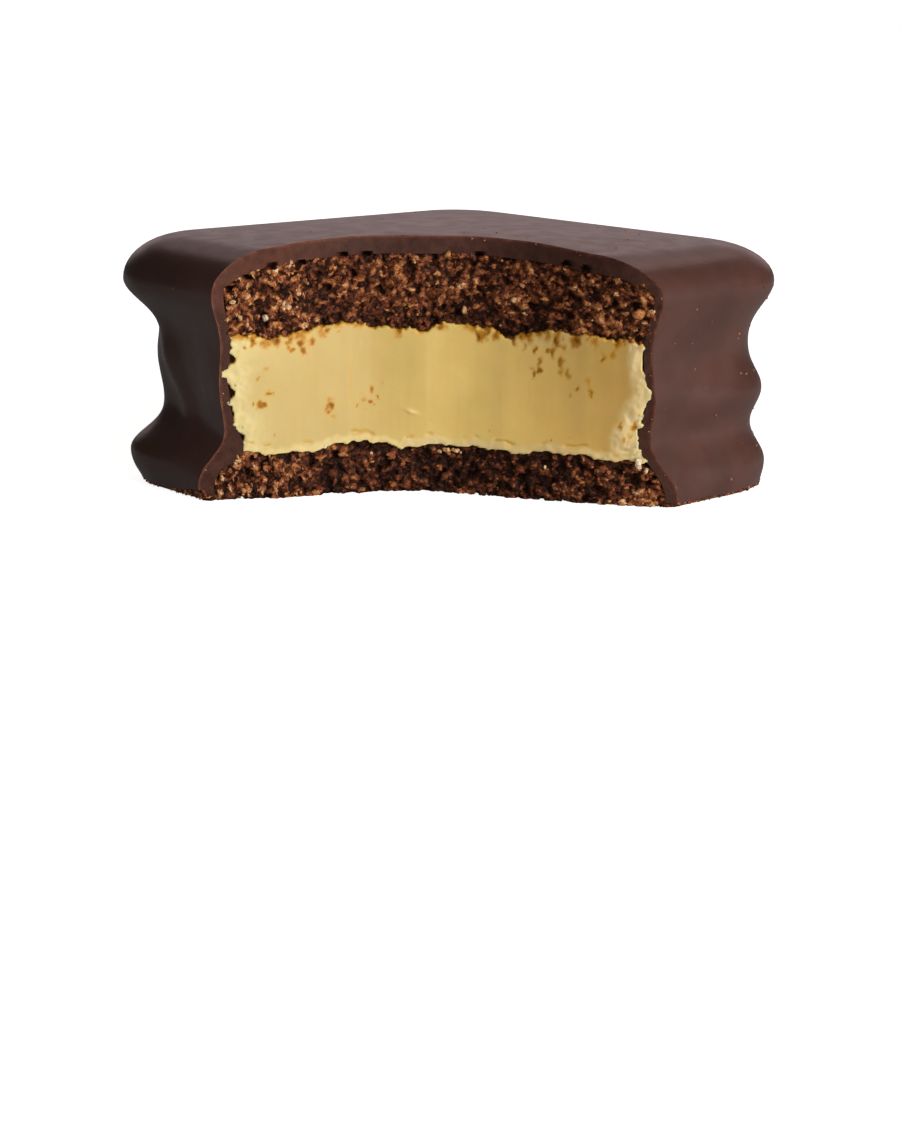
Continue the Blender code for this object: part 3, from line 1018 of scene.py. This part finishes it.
CRUMB_DRAGS = ((-0.0165, 0.0162), (-0.0152, 0.0158), (0.0035, 0.0166), (0.0079, 0.0161),
               (0.0100, 0.0155), (0.0092, 0.0139), (0.0121, 0.0160), (0.0125, 0.0141),
               (0.0142, 0.0123), (0.0165, 0.0155), (-0.0200, 0.0100), (-0.0192, 0.0135),
               (-0.0186, 0.0112), (-0.0086, 0.0098), (-0.0078, 0.0096), (-0.0123, 0.0094),
               (0.0187, 0.0077))
CREAM_SPAN_X = (-0.022, 0.022)
# The cream's colour from the left end of the bite to the right, with painted light and shade: darker left
# of the middle and at the right end, lighter right of the middle.
CREAM_COLOURS_AND_PAINTED_SHADING = ((0.0, (0.560, 0.425, 0.170)), (0.29, (0.488, 0.342, 0.093)),
                 (0.42, (0.562, 0.398, 0.116)), (0.56, (0.685, 0.495, 0.155)),
                 (0.74, (0.730, 0.490, 0.137)), (0.92, (0.460, 0.282, 0.073)),
                 (1.0, (0.440, 0.265, 0.068)))
CLOUDED_TINT = (0.94, 0.92, 0.86)
SCRAPED_COLOUR = (0.610, 0.380, 0.105)
BROKEN_COLOURS = ((0.0, (0.640, 0.515, 0.245)), (0.5, (0.640, 0.500, 0.255)), (1.0, (0.660, 0.495, 0.235)))
STAIN_COLOURS = ((0.0, (0.600, 0.350, 0.060)), (0.40, (0.440, 0.200, 0.016)),
                 (0.80, (0.200, 0.070, 0.004)), (1.0, (0.055, 0.020, 0.008)))
CURD_COLOURS = ((0.0, (0.460, 0.300, 0.095)), (0.5, (0.610, 0.475, 0.210)), (1.0, (0.760, 0.690, 0.440)))


def drag_spots():
    """Brown crumbs and stains on the cream: a place, a size and a strength for each."""
    picker = random.Random(41)
    spots = []
    for drag_x, drag_z in CRUMB_DRAGS:
        for crumb in range(picker.randint(2, 5)):
            x = drag_x + picker.gauss(0.0, 0.00050)
            z = min(drag_z + picker.gauss(0.0, 0.00055), CREAM_TOP)
            spots.append((x, z, picker.uniform(0.00008, 0.00024), picker.uniform(0.40, 1.0)))
    for crumb in range(SEAM_CRUMBS):
        x = picker.uniform(-0.0215, 0.0205)
        z = seam_height(x, CREAM_TOP) - abs(picker.gauss(0.0, 0.0005))
        spots.append((x, z, picker.uniform(0.00010, 0.00034), picker.uniform(0.5, 1.0)))
    for crumb in range(LOOSE_SPECKS):
        x = picker.uniform(-0.0200, 0.0190)
        spots.append((x, picker.uniform(0.0060, 0.0165), picker.uniform(0.00005, 0.00010), 0.6))
    return spots


drag_table = np.array(drag_spots())
drag_lengths = [LONG_DRAG_LENGTH if x > LONG_DRAG_X else DRAG_LENGTH for x in drag_table[:, 0]]
drag_reach = drag_table[:, 2:3] * np.array([(DRAG_WIDTH, length) for length in drag_lengths])


def crack(x, height):
    """1 in the thin broken cracks just above the lower biscuit."""
    line = seam_height(x, CREAM_FOOT) + CRACK_RISE + 0.0003 * rough(x, 0.0, 0.0, 0.002, 6.0)
    broken = rough(x, 0.0, 0.0, 0.0037, 7.0) + 0.7 * rough(x, 0.0, 0.0, 0.0012, 9.0)
    return ease(CRACK_WIDTH, 0.0, abs(height - line)) * ease(0.0, 0.30, broken)


def stain(x, z):
    """How brown the cream is here, with ragged edges."""
    ragged = 0.00036 * rough(x, 0.0, z, 0.00050, 2.0)
    wisp = 0.00030 * rough(x, 0.0, z, 0.00030, 5.0)
    gaps = (drag_table[:, 0:2] - np.array((x + ragged, z + 0.00006 + wisp))) / drag_reach
    nearness = 1.0 - np.clip(np.sqrt((gaps ** 2).sum(axis=1)), 0.0, 1.0)
    below = seam_height(x, CREAM_TOP) - z
    band = 0.42 * ease(0.0009, 0.0001, below) * ease(-0.05, 0.45, rough(x, 0.0, z, 0.0010, 44.0))
    scrape = hump(x, *OLD_SCRAPE) * swell(z, 0.0122, 0.0016)
    return max(float((nearness * drag_table[:, 3]).max()), band, scrape, 0.32 * crack(x, z))


def curl(x, height):
    """1 on the small curl that a tooth lifted from the cream."""
    bend = CURL_SLOPE * (x - CURL_PLACE[0])
    return swell(x, CURL_PLACE[0], CURL_SIZE[0]) * swell(height + bend, CURL_PLACE[1], CURL_SIZE[1])


def rim(x, height):
    """1 where the cream broke roughly: by the chocolate, widest on the left, and at its foot."""
    left = ease(0.0, -0.015, x)
    near_wall = clearance(x, bite_wall(x, height) + 0.0002, height, 1.0)
    wander = uneven(x, 0.0, height, RIM_WANDER)
    low_right = 0.0016 * swell(height, 0.0065, 0.0025) * ease(0.010, 0.020, x)
    side = 1.0 - ease(0.0006, 0.0020 + 0.0018 * left, near_wall + (1.0 + left) * wander - low_right)
    foot = 1.0 - ease(0.0006, 0.0011, height - seam_height(x, CREAM_FOOT) + 0.8 * wander)
    under_top = seam_height(x, CREAM_TOP) - height + wander
    top = swell(x, 0.0105, 0.0026) * ease(0.0019, 0.0006, under_top)
    return max(side, 0.75 * foot, 0.6 * top, 0.9 * curl(x, height))


def cream_relief(x, height):
    """Sliced smooth in the middle, broken in soft curds at the rims."""
    scrape = SCRAPE_DEPTH * rough(x / SCRAPE_SIZE[0], 0.0, height / SCRAPE_SIZE[1], 1.0, 3.0)
    curds = rim(x, height) ** 2 * (uneven(x, 0.0, height, RIM_CURDS) + RIM_RISE)
    smooth = uneven(x, 0.0, height, CREAM_WAVES) + scrape
    return smooth + curds + CURL_RISE * curl(x, height) - CRACK_DEPTH * crack(x, height)


def cream_shown(x, z):
    """1 where the bite shows the cream, which clings to the coating in rags, with one on the left."""
    tall, middle, width = LEFT_RAG
    cling = tall * swell(z, middle, width)
    cling -= sum(deep * swell(z, level, spread) for deep, level, spread in LEFT_GAPS)
    bare = bared(x, z, 81.0, 1.7, cling * (x < -0.018))
    return bare * above_lower(x, z) * (1.0 - above_cream(x, z))


def smear(spot):
    """How brown the cream is, and quite brown where another layer covers it."""
    return max(stain(spot.x, spot.z), 1.0 - cream_shown(spot.x, spot.z))


def cream_finish():
    """Yellow cream with painted light and shade across the bite, paler where it broke and tinted brown
    where crumbs were dragged.
    """
    made, tree, shader, place = finish_material("yellow cream")
    rough_rim = attribute(tree, "rim")
    brown = attribute(tree, "smear")
    spread = across(tree, place, *CREAM_SPAN_X)
    slow = speckle(tree, place, 0.0055, 0.30, 0.70)
    # Painted light and shade across the bite, in the cream's colour.
    clouded = mix(tree, slow.outputs["Mask"], ramp(tree, spread, CREAM_COLOURS_AND_PAINTED_SHADING), CLOUDED_TINT, "MULTIPLY")
    streak = tree.nodes.new("ShaderNodeMapping")
    streak.inputs["Scale"].default_value = (1.0, 1.0, 0.14)
    tree.links.new(place, streak.inputs["Vector"])
    scrape = speckle(tree, streak.outputs["Vector"], 0.0009, 0.60, 0.90)
    scraped = mix(tree, scrape.outputs["Mask"], clouded, SCRAPED_COLOUR)
    pale = mix(tree, rough_rim, scraped, ramp(tree, spread, BROKEN_COLOURS))
    shown = tree.nodes.new("ShaderNodeMapRange")
    shown.inputs["From Max"].default_value = 0.42
    tree.links.new(brown, shown.inputs["Value"])
    stained = mix(tree, shown.outputs["Result"], pale, ramp(tree, brown, STAIN_COLOURS))
    tree.links.new(stained, shader.inputs["Base Color"])
    vary(tree, rough_rim, 0.52, 0.85, shader.inputs["Roughness"])
    matte = tree.nodes.new("ShaderNodeMath")
    matte.operation = "MAXIMUM"
    tree.links.new(rough_rim, matte.inputs[0])
    tree.links.new(brown, matte.inputs[1])
    vary(tree, matte.outputs["Value"], 0.36, 0.08, shader.inputs["Specular IOR Level"])
    vary(tree, brown, 0.70, 0.0, shader.inputs["Subsurface Weight"])
    shader.inputs["Subsurface Radius"].default_value = (1.0, 0.6, 0.2)
    shader.inputs["Subsurface Scale"].default_value = 0.0010
    grainy(tree, shader, place, 0.00030, 0.000004)
    return made


def curd():
    """Small broken bits of cream."""
    made, tree, shader, place = finish_material("cream curd")
    colour = ramp(tree, attribute(tree, "shade"), CURD_COLOURS)
    tree.links.new(colour, shader.inputs["Base Color"])
    shader.inputs["Roughness"].default_value = 0.85
    shader.inputs["Specular IOR Level"].default_value = 0.12
    shader.inputs["Subsurface Weight"].default_value = 0.70
    shader.inputs["Subsurface Radius"].default_value = (1.0, 0.7, 0.3)
    shader.inputs["Subsurface Scale"].default_value = 0.0008
    grainy(tree, shader, place, 0.00015, 0.000008)
    return made


def curd_spots(seed):
    """Curds at the rims, thickest against the chocolate."""
    picker = random.Random(seed)
    spots = []
    for attempt in range(CURD_TRIES):
        x = picker.uniform(-0.0250, 0.0250)
        z = picker.uniform(CREAM_FOOT - 0.0002, CREAM_TOP + 0.0002)
        size = picker.uniform(*CURD_SIZES)
        y = bite_wall(x, z) - cream_relief(x, z) + size * picker.uniform(0.55, 1.0)
        if cream_shown(x, z) < 0.5 or rim(x, z) < picker.uniform(0.70, 7.0):
            continue
        if rough(x, 0.0, z, 0.0014, 9.0) > 0.10:
            continue
        spots.append(((x, y, z), size, 1.0, clamp(picker.gauss(0.52, 0.20))))
    return spots


def stuck_spots():
    """The larger of the dragged crumbs that still sit on the cream."""
    spots = []
    for x, z, size, strength in drag_table.tolist():
        if strength > 0.8 and size > 0.00012 and cream_shown(x, z) > 0.5:
            y = bite_wall(x, z) - cream_relief(x, z) + 0.45 * size
            spots.append(((x, y, z), 0.5 * size, 1.0, 0.72 - 0.42 * strength))
    return spots


cream_material = cream_finish()
cream_rings = [face_ring(share, CREAM_FOOT - LAYER_LAP) for share in spaced(0.04, 1.0, 24)]
cream_rings += [layer_ring(level) for level in spaced(CREAM_FOOT, CREAM_TOP, 26)]
cream_rings += [face_ring(share, CREAM_TOP + LAYER_LAP) for share in spaced(1.0, 0.04, 24)]
cream_core = as_object("cream_core", loft(cream_rings, 300), cream_material)
sliced = bite(CREAM_FOOT - TORN_PAST_SEAM, CREAM_TOP + TORN_PAST_SEAM, SLICED_FINENESS,
              sunk(cream_relief, cream_shown), cream_material)
carve(cream_core, sliced)
paint(cream_core, "rim", lambda spot: rim(spot.x, spot.z))
paint(cream_core, "smear", smear)
cream_pieces = [cream_core,
                scatter("cream_curds", curd_spots(42), fine_lumps, curd(), 26),
                scatter("stuck_crumbs", stuck_spots(), fine_lumps, crumb_finish, 27)]
for piece in cream_pieces:
    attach(piece, "root")
    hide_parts("cream_filling")

# ---------------------------------------------------------------------------------------------
# Flecks
# A dusting of tiny toasted crumbs that set in the coating, most of them on the right-hand side,
# and a few that stuck to its snapped edge.
# ---------------------------------------------------------------------------------------------
SKIN_FLECKS = 170
EDGE_TRIES = 2600
EDGE_SIZES = (0.00005, 0.00012)


def skin_flecks(picker):
    """Small flecks half sunk in the coating's sides and top."""
    spots = []
    for fleck in range(SKIN_FLECKS):
        right = picker.random() < 0.60
        angle = math.radians(picker.uniform(-45.0, 30.0) if right else picker.uniform(30.0, 315.0))
        size = min(0.00005 + abs(picker.gauss(0.0, 0.00006)), 0.00022)
        if picker.random() < 0.80:
            z = picker.uniform(0.0010, BULGE_HEIGHT)
            distance = reach(angle, draped_inset(angle, z) + 0.2 * size)
        else:
            share = math.sqrt(picker.random())
            distance, z = top_ring(share, 0.0)(angle)
            z -= 0.2 * size
        x, y = spot_at(distance, angle)
        if y > bite_wall(x, z) + 0.0006:
            spots.append(((x, y, z), size, 1.0, clamp(picker.gauss(0.54, 0.12), 0.30, 0.8)))
    return spots


def edge_flecks(picker):
    """Finer flecks on the outer line of the snapped chocolate."""
    spots = []
    for fleck in range(EDGE_TRIES):
        x = picker.uniform(-0.0260, 0.0240)
        z = picker.uniform(0.0020, 0.0272)
        y = bite_wall(x, z) - snap_relief(x, z)
        size = picker.uniform(*EDGE_SIZES)
        if size < clearance(x, y, z, 0.0) < 0.0004 and pit(x, z) < 0.1 and picker.random() < 0.55:
            spots.append(((x, y, z), size, 1.0, picker.uniform(0.50, 0.85)))
    return spots


fleck_picker = random.Random(51)
fleck_spots = skin_flecks(fleck_picker) + edge_flecks(fleck_picker)
flecks = scatter("coating_flecks", fleck_spots, fine_lumps, crumb_finish, 28)
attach(flecks, "root")
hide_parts("chocolate_coating")

# ---------------------------------------------------------------------------------------------
# Floor, light and camera
# A plain white sweep. A large soft light stands at the front right, a weak one in front and a
# narrow one at the left, and two faint warm ones behind shine on the top.
# ---------------------------------------------------------------------------------------------
FLOOR_SIZE = 3.0
CAMERA_PLACE = (0.0003, -0.2597, 0.0519)
CAMERA_PITCH = math.radians(13.3)
FOCAL_LENGTH = 76.8


def split_view(tree, lit, seen, output):
    """Show one shader to the camera, and let the other light the food."""
    path = tree.nodes.new("ShaderNodeLightPath")
    choose = tree.nodes.new("ShaderNodeMixShader")
    tree.links.new(path.outputs["Is Camera Ray"], choose.inputs["Fac"])
    tree.links.new(lit, choose.inputs[1])
    tree.links.new(seen, choose.inputs[2])
    tree.links.new(choose.outputs["Shader"], output.inputs["Surface"])


def floor_finish():
    """White paper, clean to the eye and dim to the food."""
    made, tree, shader, place = finish_material("white paper")
    shader.inputs["Base Color"].default_value = (0.80, 0.80, 0.80, 1.0)
    shader.inputs["Roughness"].default_value = 0.9
    shader.inputs["Emission Color"].default_value = (1.0, 1.0, 1.0, 1.0)
    far = tree.nodes.new("ShaderNodeVectorMath")
    far.operation = "LENGTH"
    tree.links.new(place, far.inputs[0])
    glow = tree.nodes.new("ShaderNodeMapRange")
    glow.inputs["From Min"].default_value = 0.10
    glow.inputs["From Max"].default_value = 0.60
    glow.inputs["To Min"].default_value = 0.86
    glow.inputs["To Max"].default_value = 1.05
    tree.links.new(far.outputs["Value"], glow.inputs["Value"])
    tree.links.new(glow.outputs["Result"], shader.inputs["Emission Strength"])
    dark = tree.nodes.new("ShaderNodeBsdfPrincipled")
    dark.inputs["Base Color"].default_value = (0.30, 0.30, 0.30, 1.0)
    dark.inputs["Roughness"].default_value = 0.9
    dark.inputs["Emission Color"].default_value = (1.0, 1.0, 1.0, 1.0)
    dark.inputs["Emission Strength"].default_value = 0.07
    split_view(tree, dark.outputs["BSDF"], shader.outputs["BSDF"], tree.nodes["Material Output"])
    return made


floor_shape = bmesh.new()
bmesh.ops.create_grid(floor_shape, x_segments=2, y_segments=2, size=FLOOR_SIZE)
floor = as_object("floor", floor_shape, floor_finish())


def softbox(name, azimuth, elevation, distance, width, height, power, colour=(1.0, 1.0, 1.0)):
    """An area light that looks at the cookie; azimuth 0 is the front and 90 the right."""
    turn = math.radians(azimuth)
    lift = math.radians(elevation)
    flat = math.cos(lift)
    away = Vector((flat * math.sin(turn), -flat * math.cos(turn), math.sin(lift)))
    lamp = bpy.data.lights.new(name, "AREA")
    lamp.shape = "RECTANGLE"
    lamp.size = width
    lamp.size_y = height
    lamp.energy = power
    lamp.color = colour
    made = bpy.data.objects.new(name, lamp)
    made.location = CENTRE + distance * away
    made.rotation_euler = (-away).to_track_quat("-Z", "Y").to_euler()
    bpy.context.scene.collection.objects.link(made)


softbox("key", 44.0, 13.0, 0.80, 0.60, 0.45, 9.3)
softbox("fill", 0.0, 8.0, 0.90, 0.40, 0.30, 1.8)
softbox("strip", -66.0, 14.0, 0.80, 0.04, 0.50, 0.85)
softbox("backdrop", 180.0, 15.0, 0.70, 0.80, 0.24, 0.38, (1.0, 0.745, 0.745))
softbox("high back", 180.0, 44.0, 0.70, 0.60, 0.25, 0.48, (1.0, 0.72, 0.66))

world = bpy.data.worlds.new("studio")
world.use_nodes = True
sky = world.node_tree
near_white = sky.nodes["Background"]
near_white.inputs["Color"].default_value = (1.0, 1.0, 1.0, 1.0)
dim = sky.nodes.new("ShaderNodeBackground")
dim.inputs["Color"].default_value = (1.0, 1.0, 1.0, 1.0)
dim.inputs["Strength"].default_value = 0.05
split_view(sky, dim.outputs["Background"], near_white.outputs["Background"], sky.nodes["World Output"])
bpy.context.scene.world = world
bpy.context.scene.view_settings.view_transform = "Standard"

lens = bpy.data.cameras.new("camera")
lens.lens = FOCAL_LENGTH
camera = bpy.data.objects.new("camera", lens)
camera.location = CENTRE + Vector(CAMERA_PLACE)
camera.rotation_euler = (math.radians(90.0) - CAMERA_PITCH, 0.0, 0.0)
bpy.context.scene.collection.objects.link(camera)
bpy.context.scene.camera = camera
